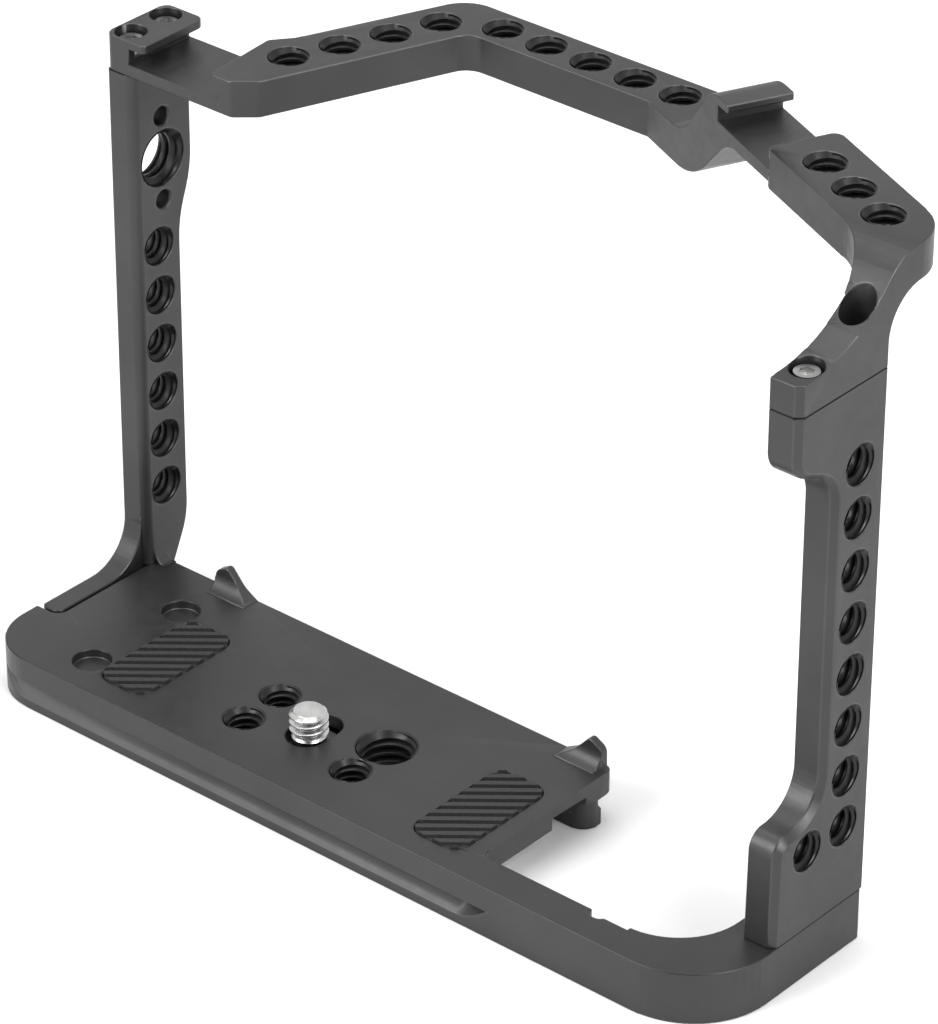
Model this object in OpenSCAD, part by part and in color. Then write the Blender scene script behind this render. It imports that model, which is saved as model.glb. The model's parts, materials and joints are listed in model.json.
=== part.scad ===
// Camera cage: a frame of four bolted pieces round a mirrorless camera body, with a captive camera screw.
// Working frame: x from the middle of the width, y forward from the rear face of the left bar,
// z up from the top of the base plate. stand() then sets the part on the floor, centred.

/* [Overall frame] */
// Width across the outer faces of the two side bars
cage_w = 152; // [146:1:160]
// Height of both upper joint faces above the top of the base plate
bars_h = 91; // [86:1:100]
// Thickness of both side bars, across the width
bar_t = 5.6; // [5.2:0.1:6.4]
// Height of the base, from its underside to the top of its plate
base_h = 9.1; // [8.8:0.1:10.5]

/* [Base plate] */
// Depth of the plate between its two dovetail edges
plate_depth = 38.3; // [37.5:0.1:40]
// Reach of the plate's front edge ahead of the left bar's rear face
plate_front = 4.3; // [3.8:0.1:5]
// Length of the plate from its left end to its open right end
plate_len = 102.7; // [98:0.1:106]
// Thickness of the plate's thin right edge above the dovetail lugs
plate_lip_t = 4.2; // [3.8:0.1:4.4]
// Setback of the right end of the dovetail's middle behind the plate's right end
mid_setback = 4.7; // [4:0.1:7]
// Distance of the front dovetail lug's rear side behind the plate's front edge
lug_reach = 6.8; // [6.4:0.1:7.6]
// Radius of the lug's rear corner at the plate's right end
lug_r = 2.9; // [2:0.1:3]
// Depth of the strip that runs from the plate to the right corner
strip_depth = 6.5; // [6:0.1:8]
// Width of the arm under the right bar
arm_w = 8.7; // [8.2:0.1:10]
// Radius of the plate's left rear corner
left_corner_r = 10; // [7:0.5:12]
// Radius of the outer right rear corner
right_corner_r = 14.5; // [12:0.5:18]
// Radius of the inner right rear corner
inner_corner_r = 12; // [9:0.5:13]
// Depth of the dovetail groove below the plate's top, to its upper flat
dovetail_top = 4.4; // [4.3:0.1:4.8]
// How far the dovetail groove goes in from the plate's edge, and how far its flank comes down
dovetail_in = 3.1; // [2.6:0.1:3.4]
// Radius of the cutter that left the round end of the rear dovetail groove
cutter_r = 8; // [6:0.5:12]
// Setback of the front dovetail edge behind the plate's front edge
front_setback = 2.9; // [2.4:0.1:3.2]
// Depth and height of the flank over the front dovetail edge
front_flank = 0.9; // [0.6:0.1:1.2]
// Front to back width of the relief under the plate's right end, at its open side
relief_w = 10.4; // [9:0.1:11]
// Width and height of the slope along the relief's rear side
relief_flank = 2.2; // [1.6:0.1:2.6]
// Thickness of the plate left above that relief
relief_roof_t = 2; // [1.8:0.1:2.6]
// Length of that relief from the plate's right end
relief_len = 22; // [14:1:24]

/* [Camera stops] */
// Height of the two stops on the plate's front edge
stop_h = 4.75; // [3.5:0.05:6]
// Width of a stop at its foot
stop_w = 8.2; // [7:0.1:10]
// Thickness of a stop at its top
stop_t = 1.5; // [1.2:0.1:2.2]
// Thickness of a stop at its foot
stop_foot_t = 3.6; // [3:0.1:4.5]
// Distance of a stop's peak from its steep side
stop_peak = 2.6; // [2:0.1:3.5]
// Place of the left stop's steep side from the cage's left side
left_stop_x = 18.5; // [14:0.5:24]
// Setback of the right stop's steep side from the plate's right end
right_stop_back = 1.3; // [1:0.1:4]

/* [Holes and threads] */
// Major diameter of the 1/4 inch threads
quarter_d = 6.35; // [6.3:0.01:6.5]
// Major diameter of the 3/8 inch threads
three_eighth_d = 9.53; // [9.5:0.01:9.7]
// Diameter of the two locating holes beside the side bar's 3/8 inch hole
pin_hole_d = 3.1; // [2.9:0.05:3.4]
// Distance of those locating holes from the 3/8 inch hole
pin_hole_off = 7.5; // [7.3:0.05:7.8]
// Distance between neighbouring holes in every row
hole_pitch = 9; // [8.6:0.1:9.5]
// Chamfer at the mouth of a hole
mouth_chamfer = 0.35; // [0.2:0.05:0.45]

/* [Right side bar] */
// Reach of the right bar's front edge ahead of the left bar's rear face
rbar_front = 3.7; // [3:0.1:4.3]
// Depth of the right bar along its slim grip, front to back
rbar_grip_depth = 11.2; // [10.5:0.1:12.5]
// Depth of its foot
rbar_foot_depth = 22.1; // [20:0.1:22.6]
// Height of its foot
rbar_foot_h = 18.8; // [18.4:0.1:22]
// Depth of its head at the upper joint
rbar_head_depth = 20.7; // [19:0.1:22]
// Height of its head below the upper joint
rbar_head_h = 12; // [8:0.1:12.6]
// Height of its lowest row hole above the plate
rbar_hole_z = 14.2; // [13:0.1:15]
// Distance of its row of holes behind its front edge
rbar_hole_back = 5.55; // [5.2:0.05:6]
// Distance of the single foot hole behind the row
rbar_foot_hole_back = 8.9; // [8.5:0.1:11]
// Number of holes in its row
rbar_holes = 8; // [5:1:8]
// Chamfer along the rear outline of its outer face
rbar_chamfer = 1.1; // [0.6:0.1:1.4]

/* [Left side bar] */
// Depth of the left bar along its slim part, front to back
lbar_depth = 9.9; // [9.6:0.1:11]
// Depth of its upper part round the 3/8 inch hole
lbar_head_depth = 13; // [12.6:0.1:14]
// Distance below the upper joint at which it starts to widen
lbar_flare_drop = 29.2; // [28:0.1:32]
// Height over which it widens
lbar_flare_h = 8.5; // [7:0.1:10]
// Chamfer along the rear outline of its outer face
lbar_chamfer = 0.5; // [0.3:0.1:0.8]
// Radius of its inner rear edge
lbar_inner_r = 1.7; // [1:0.1:2]
// Radius of the gusset between its rear face and its foot
gusset_r = 8; // [6:0.5:10]
// Reach of its foot behind its rear face
foot_reach = 20; // [18:0.5:22]
// Width of its foot
foot_w = 4.3; // [4:0.1:4.8]
// Depth of its foot let into the plate
foot_t = 3.2; // [3:0.1:3.6]
// Height of its lowest row hole above the plate
lbar_hole_z = 13.8; // [13:0.1:15]
// Distance of its row of holes ahead of its rear face
lbar_hole_y = 5.06; // [4.8:0.01:5.4]
// Number of holes in its row
lbar_holes = 6; // [4:1:6]
// Distance of its 3/8 inch hole below the upper joint
lbar_big_drop = 16.7; // [16:0.1:18]
// Distance of its 3/8 inch hole ahead of its rear face
lbar_big_y = 6.5; // [6.3:0.1:7]

/* [Top frame] */
// Thickness of the top frame
ring_t = 6.3; // [6:0.1:7]
// Rise of its right half above its left half
step_up = 11.35; // [10:0.05:13]
// Width of its front rail
rail_w = 9.55; // [9.3:0.05:10.5]
// Reach of its front rail's front edge ahead of the left bar's rear face
rail_front = 47.1; // [45:0.1:49]
// Width of the slanted left arm
arm_l_w = 11.1; // [10.5:0.1:12]
// Direction of the slanted left arm, in degrees from the width
arm_l_angle = 68.25; // [66:0.25:70]
// Turn of the right arm back from the width, in degrees
arm_r_angle = 25; // [23:0.5:27]
// Width of the right arm
arm_r_w = 11.2; // [10.8:0.1:12]
// Widening of the right block towards the rear
block_extra = 1; // [0.6:0.1:1.4]
// Place of the bend between the front rail and the right arm, right of the middle
bend_x = 4.2; // [3:0.1:6]
// Number of holes in the slanted left arm
arm_holes = 4; // [2:1:4]
// Number of holes in the front rail
rail_holes = 5; // [3:1:5]
// Number of holes in the right block
block_holes = 3; // [2:1:3]
// Depth of the left block, front to back
lblock_depth = 14.1; // [13:0.1:15]
// Depth of the web over the right bar, behind the left bar's rear face
web_back = 17; // [16:0.1:18]
// Height of the web at its rear, above the joint
web_low_h = 5.2; // [5:0.1:5.8]

/* [Shoe slots] */
// Width of a shoe slot between its walls
shoe_w = 19.15; // [18.7:0.05:19.5]
// Thickness of a shoe slot's floor
shoe_floor_t = 2.1; // [1.8:0.05:2.4]
// Thickness of a shoe slot's lips
shoe_lip_t = 1.5; // [1.3:0.05:1.6]
// Reach of the long lip over the slot
long_lip = 3.4; // [3:0.1:3.6]
// Reach of the short lip over the slot
short_lip = 1.45; // [1:0.05:2]

/* [Grip pads] */
// Width of a grip pad
pad_w = 10.1; // [9:0.1:11]
// Length of a grip pad
pad_len = 22.2; // [20:0.1:24]
// Distance of a grip pad from the plate's rear edge
pad_in = 4.4; // [4:0.1:5.5]
// Corner radius of a grip pad
pad_r = 2.8; // [2:0.1:4]
// How far a pad stands above the plate
pad_proud = 0.4; // [0.2:0.05:0.8]
// Depth of the recess that holds a pad
pad_recess = 1.2; // [1:0.05:1.5]
// Thickness of the adhesive tape under a pad
tape_t = 0.2; // [0.1:0.05:0.3]
// Distance between the ribs of a pad
rib_pitch = 2; // [1.6:0.1:3]
// Depth of the grooves between the ribs
rib_depth = 0.6; // [0.4:0.05:0.8]
// Direction of the ribs, in degrees from the width
rib_angle = 40; // [0:1:60]

/* [Camera screw] */
// Height of the camera screw above the plate when it is up
screw_up = 4.55; // [4:0.05:5.5]
// Travel of the camera screw along its slot
screw_travel = 3.8; // [3:0.1:5]
// Distance of the camera screw, as drawn, from the rear end of its travel
screw_at = 0.7; // [0:0.1:1.5]
// Clearance round the camera screw's thread in its slot
slot_clear = 0.18; // [0.12:0.01:0.3]
// Thickness of the plate round the slot, above the washer's pocket
web_t = 2.4; // [2.2:0.1:2.8]
// Height of the chamfer at the camera screw's tip
lead_h = 0.55; // [0.4:0.05:0.8]
// Diameter of the camera screw's head
head_d = 10.8; // [10.4:0.1:11.4]
// Thickness of the camera screw's head
head_t = 2.7; // [2.5:0.1:2.8]
// Outer diameter of the washer under the plate
washer_d = 11; // [10.6:0.1:11.6]
// Thickness of the washer
washer_t = 0.8; // [0.6:0.1:1]
// Thickness of the retaining ring round the head
retainer_t = 0.7; // [0.6:0.05:0.8]
// How far the retaining ring stands out past the mouth of the pocket, in radius
retainer_grip = 0.4; // [0.3:0.05:0.6]

/* [Joint screws] */
// Thread diameter of the screws at the upper joints and under the right foot
joint_screw_d = 2.5; // [2.4:0.1:2.6]
// Thread diameter of the screws under the left foot
foot_screw_d = 2; // [1.9:0.1:2.1]
// Distance of the left foot's screws from the cage's left side
left_screw_in = 2.6; // [2.5:0.05:2.8]
// Distance of the right foot's screws from the cage's right side
right_screw_in = 3.1; // [3:0.05:3.3]
// Diameter of the counterbores over the upper joints
top_counterbore_d = 5.3; // [5:0.1:5.4]
// Thickness of the frame under the heads of the upper joint screws
top_seat_t = 3; // [2.6:0.1:3.4]
// Length of an upper joint screw below its head
top_screw_len = 9; // [7:0.5:9.5]
// Length of a foot screw in its bar
foot_screw_bite = 2.2; // [1.8:0.1:2.5]
// Length of a right foot screw in its bar
right_screw_bite = 6; // [5:0.5:7]

/* [Hidden] */
$fn = 48;

// Overrun of every cut past the face it opens
over = 1;
// Running gap between flat faces that slide on each other
slide_gap = 0.05;
// Largest turn between neighbouring points of a rounded outline, in degrees
arc_step = 6;
step_slack = 0.01;
// Part of an outline's edge that its two roundings may take up
edge_share = 0.98;

// Places of the main faces
x_right = cage_w / 2;
x_left = -x_right;
x_lbar = x_left + bar_t;
x_rbar = x_right - bar_t;
rear_y = plate_front - plate_depth;
plate_end = x_left + plate_len;
strip_front = rear_y + strip_depth;
arm_x = x_right - arm_w;
ring_top = bars_h + ring_t;
high_bottom = bars_h + step_up;
high_top = high_bottom + ring_t;
centre_y = (rear_y + rail_front) / 2;

// Small roundings of corners
fine_r = 0.8;
soft_r = 1.5;

// Shapes of the right bar's shoulders, and the place of its row of holes
rbar_row_y = rbar_front - rbar_hole_back;
foot_shoulder_r = 3.05;
foot_neck_r = 7.2;
head_neck_r = 6;
head_shoulder_r = 4.5;
head_slope_rise = 4.2;
foot_lean = 0.4;

// Heights of the left bar's flare and of its 3/8 inch hole
lbar_flare_z = bars_h - lbar_flare_drop;
lbar_big_z = bars_h - lbar_big_drop;

// Shapes of the left bar's ends
flare_r = 20;
toe_r = 14;
toe_z = 5.8;
toe_in = 4.7;
toe_drop = 4.4;
foot_gap = 0.6;
foot_fillet_r = 2.4;
foot_fillet_t = 0.2;

// Height shares of a stop: where its steep side turns in, and the middle of its hollow slope
stop_shoulder_share = 0.7;
stop_hollow_share = 0.33;

// Places in the base
pad_gap = 0.15;
left_pad_in = 27.3;
left_pad_x = x_left + left_pad_in;
right_pad_back = 8.45;
right_pad_x = plate_end - right_pad_back;
rib_share = 0.5;
dimple_d = 6.5;
dimple_depth = 1.5;
dimple_in = [18.6, 19.2];
dimple_back = [31.1, 10.8];
screw_in = 59.8;
screw_x = x_left + screw_in;
slot_rear_back = 24.8;
row_left_in = 48.8;
row_left_x = x_left + row_left_in;
row_right_in = 71.67;
row_right_x = x_left + row_right_in;
row_rear_back = 27.6;
row_front_back = 18.97;
notch_back = 26;
notch_x = x_right - notch_back;
notch_r = 1.5;
notch_step_w = 5.9;
notch_step_depth = 0.7;

// Shapes of the top frame
apex_r = 6.3;
inner_apex_r = 3.8;
hole_row_in = 4.77;
rail_first_in = 46.8;
rail_first_x = x_left + rail_first_in;
arm_start_in = 27.73;
arm_start_y = 12.67;
arm_start = [x_left + arm_start_in, arm_start_y];
arm_inner_off = 5.75;
ring_end_in = 22.7;
ring_end_x = x_left + ring_end_in;
ring_rear_run = 4.3;
ring_nose_in = [7.7, 3];
ring_flank_in = [21.3, 24.2];
ring_flank_y = [14.9, 18.6];
flank_r = 2.4;
ramp_angle = 52;
ramp_foot_s = -0.14;
ramp_in_r = 8.2;
ramp_out_r = 6;
belly_angle = 45;
belly_foot_s = 3.4;
belly_r = 13;
belly_top_r = 9;
knuckle_s = -9.5;
shoe_wall_s = 11.2;
block_hole_s = 6.46;
block_hole_n = 5.79;
block_corner_r = 9;
block_inner_r = 12;
scoop_edge_y = 6.3;
scoop_slope = 46.6;
scoop_edge_r = 10.4;
scoop_r = 24.5;
web_front_r = 7.5;

// Edges of the shoe slots
lblock_solid_w = 5;
shoe_left_x = x_left + lblock_solid_w;
shoe_wall_x = shoe_left_x + shoe_w;
shoe_slot_h = ring_t - shoe_floor_t - shoe_lip_t;

// Places of the joint screws
left_top_x = x_left + bar_t / 2;
left_top_in = [3, 2];
left_top_y = [left_top_in[0], lbar_head_depth - left_top_in[1]];
right_top_x = x_right - bar_t / 2 - slide_gap;
right_top_in = [5, 4.2];
right_top_y = [rbar_front - rbar_head_depth + right_top_in[0], rbar_front - right_top_in[1]];
left_foot_x = x_left + left_screw_in;
left_foot_in = [5, 6];
front_neck_low = 5.2;
left_foot_ends = [left_foot_in[0] - foot_reach, plate_front - left_foot_in[1]];
left_foot_y = [left_foot_ends[0], (left_foot_ends[0] + left_foot_ends[1]) / 2, left_foot_ends[1]];
right_foot_x = x_right - right_screw_in;
right_foot_in = [5.4, 6.7];
right_foot_y = [rbar_front - rbar_foot_depth + right_foot_in[0], rbar_front - right_foot_in[1]];
top_bite = top_screw_len - top_seat_t;
bite_clear = 0.05;
pass_clear = 0.25;
head_clear = 0.15;
head_share = 1.6;
head_h_share = 0.8;
socket_share = 1;
socket_depth_share = 0.45;
tip_share = 0.3;
foot_seat_t = 2.4;
right_seat_t = 5;

// The pocket under the slot: a chamber for the retaining ring above a narrower mouth
pocket_lip_t = 1.4;
mouth_r = head_d / 2 + slot_clear + slide_gap;
chamber_r = mouth_r + retainer_grip + slot_clear;
chamber_low = base_h - pocket_lip_t;

// Places of the camera screw's parts, when it is up
screw_y = plate_front - slot_rear_back + screw_at;
head_top = -web_t - washer_t - 2 * slide_gap;
retainer_drop = 0.4;
retainer_top = head_top - retainer_drop;
groove_depth = 1.17;
groove_r = head_d / 2 - groove_depth;
thread_low = 0.3;
neck_in = 0.3;
neck_r = quarter_d / 2 - neck_in;
lead_in = 0.73;
lead_r = quarter_d / 2 - lead_in;
driver_slot_w = 1.6;
driver_slot_depth = 1.3;

// A direction, without its length
function unit(v) = v / norm(v);

// The plain place of an outline corner, without its radius
function place(p) = [p.x, p.y];

// Half the angle between the two edges that meet at corner i
function half_angle(pts, i) =
    let (n = len(pts), b = place(pts[i]),
        u = unit(place(pts[(i + n - 1) % n]) - b),
        w = unit(place(pts[(i + 1) % n]) - b))
    acos(max(-1, min(1, u * w))) / 2;

// Length of edge that the rounding of corner i takes up
function take_up(pts, i) = pts[i][2] / tan(half_angle(pts, i));

// How much of the rounding of corner i fits on the edge from i to j
function edge_fit(pts, i, j) =
    let (need = take_up(pts, i) + take_up(pts, j))
    need == 0 ? 1 : min(1, edge_share * norm(place(pts[i]) - place(pts[j])) / need);

// The points of corner i: an arc tangent to both edges, or the corner itself
function corner_points(pts, i) =
    let (n = len(pts), b = place(pts[i]),
        before = (i + n - 1) % n, after = (i + 1) % n,
        r = pts[i][2] * min(edge_fit(pts, i, before), edge_fit(pts, i, after)))
    r == 0 ? [b] :
    let (half = half_angle(pts, i),
        u = unit(place(pts[before]) - b),
        w = unit(place(pts[after]) - b),
        m = b + unit(u + w) * r / sin(half),
        p = b + u * r / tan(half) - m,
        q = b + w * r / tan(half) - m,
        start = atan2(p.y, p.x),
        raw = atan2(q.y, q.x) - start,
        turn = raw > 180 ? raw - 360 : raw < -180 ? raw + 360 : raw,
        steps = max(2, ceil(abs(turn) / arc_step - step_slack)))
    [for (k = [0:steps]) m + r * [cos(start + turn * k / steps), sin(start + turn * k / steps)]];

// An outline whose corners are given as x, y and radius
function rounded(pts) = [for (i = [0:len(pts) - 1]) each corner_points(pts, i)];

// Unit vector that points into an outline from its edge that ends in corner i
function inward(pts, i) =
    let (n = len(pts), e = unit(place(pts[i]) - place(pts[(i + n - 1) % n])))
    [-e.y, e.x];

// Corner i of an outline, listed with its inside on the left, moved in by d with both its edges
function moved_corner(pts, i, d) =
    let (n = len(pts), before = inward(pts, i), after = inward(pts, (i + 1) % n),
        shift = d * (before + after) / (1 + before * after),
        outer = before.x * after.y - before.y * after.x > 0,
        r = pts[i][2] == 0 ? 0 : outer ? pts[i][2] - d : pts[i][2] + d)
    [pts[i].x + shift.x, pts[i].y + shift.y, r];

// The rounded outline moved in by d, as points at the given place across the width
function inner_ring(pts, d, x) =
    [for (p = rounded([for (i = [0:len(pts) - 1]) moved_corner(pts, i, d)])) [x, p.x, p.y]];

// A point of the right arm: s along the arm, n across it towards the front
function arm_point(s, n) =
    [s * cos(arm_r_angle) + n * sin(arm_r_angle), n * cos(arm_r_angle) - s * sin(arm_r_angle)];

// A corner of the right arm's outline
function arm_corner(s, n, r) = [arm_point(s, n).x, arm_point(s, n).y, r];

// Distance of a plan point across the right arm
function across(p) = p.x * sin(arm_r_angle) + p.y * cos(arm_r_angle);

// Distance of a plan point along the right arm
function along(p) = p.x * cos(arm_r_angle) - p.y * sin(arm_r_angle);

// Edges of the right arm: its rear edge passes through the bend in the front rail
arm_rear_n = across([bend_x, rail_front - rail_w]);
arm_front_n = arm_rear_n + arm_r_w;
block_rear_n = arm_rear_n - block_extra;
block_wall_s = shoe_wall_s + shoe_w;
block_end_s = block_wall_s - short_lip;
bend_front_x = (arm_front_n - rail_front * cos(arm_r_angle)) / sin(arm_r_angle);

// Sets the part down on the floor, centred
module stand() {
    translate([0, -centre_y, base_h]) children();
}

// A slab with its outline in width and depth, between two heights
module plan_slab(low, high) {
    translate([0, 0, low]) linear_extrude(high - low) children();
}

// A slab with its outline in depth and height, between two places across the width
module side_slab(low, high) {
    translate([low, 0, 0]) rotate([90, 0, 90]) linear_extrude(high - low) children();
}

// A slab with its outline in width and height, between two depths
module front_slab(low, high) {
    translate([0, high, 0]) rotate([90, 0, 0]) linear_extrude(high - low) children();
}

// Ring that cuts a chamfer of width c along an outline in depth and height, on the face at x
module outline_chamfer(x, side, c, pts) {
    low = inner_ring(pts, -over, x - side * (c + over));
    high = inner_ring(pts, c + over, x + side * over);
    out = inner_ring(pts, -over, x + side * over);
    n = len(low);
    faces = [for (i = [0:n - 1]) let (j = (i + 1) % n) each [
        [i, j, n + j], [i, n + j, n + i],
        [n + i, n + j, 2 * n + j], [n + i, 2 * n + j, 2 * n + i],
        [2 * n + i, 2 * n + j, j], [2 * n + i, j, i]
    ]];
    polyhedron(points = concat(low, high, out),
        faces = side > 0 ? faces : [for (f = faces) [f[2], f[1], f[0]]]);
}

// A hole down from the origin through a wall, with a chamfer at both mouths
module through_hole(d, wall) {
    r = d / 2;
    wide_r = r + mouth_chamfer + over;
    translate([0, 0, -wall - over]) cylinder(h = wall + 2 * over, r = r);
    translate([0, 0, -mouth_chamfer]) cylinder(h = mouth_chamfer + over, r1 = r, r2 = wide_r);
    translate([0, 0, -wall - over]) cylinder(h = mouth_chamfer + over, r1 = wide_r, r2 = r);
}

// The same hole along the width, from x towards the left
module side_hole(d, x, wall, y, z) {
    translate([x, y, z]) rotate([0, 90, 0]) through_hole(d, wall);
}

// Straight slot with round ends along the depth, cut between two heights
module long_slot(r, low, high) {
    slot_y = plate_front - slot_rear_back;
    translate([screw_x, slot_y, low]) cylinder(h = high - low, r = r);
    translate([screw_x, slot_y + screw_travel, low]) cylinder(h = high - low, r = r);
    translate([screw_x - r, slot_y, low]) cube([2 * r, screw_travel, high - low]);
}

// Outline of a pad or its recess, grown by a gap on every side
module pad_outline(x, gap) {
    w = pad_w + 2 * gap;
    l = pad_len + 2 * gap;
    rear = rear_y + pad_in - gap;
    polygon(rounded([
        [x - w / 2, rear, pad_r + gap],
        [x + w / 2, rear, pad_r + gap],
        [x + w / 2, rear + l, pad_r + gap],
        [x - w / 2, rear + l, pad_r + gap]
    ]));
}

// Outline of the whole base, seen from above
module base_outline() {
    difference() {
        polygon(rounded([
            [x_left, rear_y, left_corner_r],
            [x_right, rear_y, right_corner_r],
            [x_right, rbar_front, fine_r],
            [arm_x, rbar_front, fine_r],
            [arm_x, strip_front, inner_corner_r],
            [plate_end, strip_front, soft_r],
            [plate_end, plate_front, soft_r],
            [x_left, plate_front, fine_r]
        ]));
        translate([notch_x, strip_front]) circle(r = notch_r);
        translate([notch_x, strip_front - notch_step_depth])
            square([notch_step_w, notch_step_depth + over]);
    }
}

// V groove of the rear dovetail edge, as far as the plate's right end
module rear_groove() {
    side_slab(x_left - over, plate_end) polygon([
        [rear_y - over, -dovetail_top],
        [rear_y + dovetail_in, -dovetail_top],
        [rear_y, -dovetail_top - dovetail_in],
        [rear_y - over, -dovetail_top - dovetail_in]
    ]);
}

// What is cut away under the plate's front lip, down to the front dovetail edge
module front_undercut() {
    edge = plate_front - front_setback;
    neck = edge - front_flank;
    side_slab(x_left - over, plate_end + over) polygon([
        [plate_front + over, -plate_lip_t],
        [neck, -plate_lip_t],
        [neck, -front_neck_low],
        [edge, -front_neck_low - front_flank],
        [edge, -base_h - over],
        [plate_front + over, -base_h - over]
    ]);
}

// End of the rear dovetail groove, where the round cutter ran out of the metal
module groove_end() {
    translate([plate_end, rear_y - cutter_r + dovetail_in, -dovetail_top - dovetail_in])
        cylinder(h = dovetail_in, r1 = cutter_r - dovetail_in, r2 = cutter_r);
}

// What is cut away under the plate's right end, round the two dovetail lugs
module end_relief() {
    mid_end = plate_end - mid_setback;
    low = -base_h - over;
    lug_back = plate_front - lug_reach;
    plan_slab(low, -plate_lip_t) polygon(rounded([
        [mid_end, strip_front, soft_r],
        [plate_end + over, strip_front, 0],
        [plate_end + over, lug_back + lug_r, 0],
        [plate_end, lug_back + lug_r, 0],
        [plate_end, lug_back, lug_r],
        [mid_end, lug_back, soft_r]
    ]));
    relief_rear = lug_back - relief_w;
    side_slab(plate_end - relief_len, plate_end + over) polygon([
        [lug_back, low],
        [lug_back, -relief_roof_t],
        [relief_rear + relief_flank, -relief_roof_t],
        [relief_rear + relief_flank, relief_flank - base_h],
        [relief_rear, -base_h],
        [relief_rear, low]
    ]);
}

// Recess for the left bar's foot, open to the left and to the front
module foot_recess() {
    side = x_left + foot_w + foot_gap;
    back = -foot_reach - foot_gap;
    plan_slab(-foot_t, over) polygon(rounded([
        [x_left - over, back, 0],
        [side, back, foot_w / 2],
        [side, plate_front + over, 0],
        [x_left - over, plate_front + over, 0]
    ]));
}

// Stop on the plate's front edge: steep on one side, with a hollow slope on the other
module camera_stop(steep_x, side) {
    peak = steep_x - side * stop_peak;
    foot = steep_x - side * stop_w;
    intersection() {
        front_slab(plate_front - stop_foot_t, plate_front) polygon(rounded([
            [steep_x, -over, 0],
            [steep_x, stop_h * stop_shoulder_share, soft_r],
            [peak, stop_h, fine_r],
            [(peak + foot) / 2, stop_h * stop_hollow_share, stop_h],
            [foot, 0, 0],
            [foot, -over, 0]
        ]));
        side_slab(min(steep_x, foot) - over, max(steep_x, foot) + over) polygon(rounded([
            [plate_front, -over, 0],
            [plate_front, stop_h, 0],
            [plate_front - stop_t, stop_h, 0],
            [plate_front - stop_t, 0, stop_foot_t],
            [plate_front - stop_foot_t - over, 0, 0],
            [plate_front - stop_foot_t - over, -over, 0]
        ]));
    }
}

// One piece: plate with dovetail underside, rear strip and right arm
module base_plate() {
    color("#3a3a3c") stand() difference() {
        union() {
            plan_slab(-base_h, 0) base_outline();
            camera_stop(x_left + left_stop_x, -1);
            camera_stop(plate_end - right_stop_back, 1);
        }
        rear_groove();
        front_undercut();
        groove_end();
        end_relief();
        foot_recess();
        for (x = [left_pad_x, right_pad_x])
            plan_slab(-pad_recess, over) pad_outline(x, pad_gap);
        for (i = [0, 1])
            translate([x_left + dimple_in[i], plate_front - dimple_back[i], -dimple_depth])
                cylinder(h = dimple_depth + over, d = dimple_d);
        long_slot(quarter_d / 2 + slot_clear, -base_h, over);
        long_slot(chamber_r, -chamber_low, -web_t);
        long_slot(mouth_r, -base_h - over, -chamber_low + over);
        for (y = [row_rear_back, row_front_back])
            translate([row_left_x, plate_front - y, 0]) through_hole(quarter_d, base_h);
        translate([row_right_x, plate_front - row_rear_back, 0]) through_hole(quarter_d, base_h);
        translate([row_right_x, plate_front - row_front_back, 0]) through_hole(three_eighth_d, base_h);
        for (y = left_foot_y)
            translate([left_foot_x, y, -foot_t]) screw_seat(foot_screw_d, foot_seat_t, base_h - foot_t);
        for (y = right_foot_y)
            translate([right_foot_x, y, 0]) screw_seat(joint_screw_d, right_seat_t, base_h);
    }
}

// Hole for a screw from below: shank hole up through a seat, counterbore down to the underside
module screw_seat(d, seat, depth) {
    translate([0, 0, -depth]) cylinder(h = depth + over, d = d + 2 * pass_clear);
    translate([0, 0, -depth - over]) cylinder(h = depth - seat + over, d = d * head_share + 2 * head_clear);
}

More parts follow.
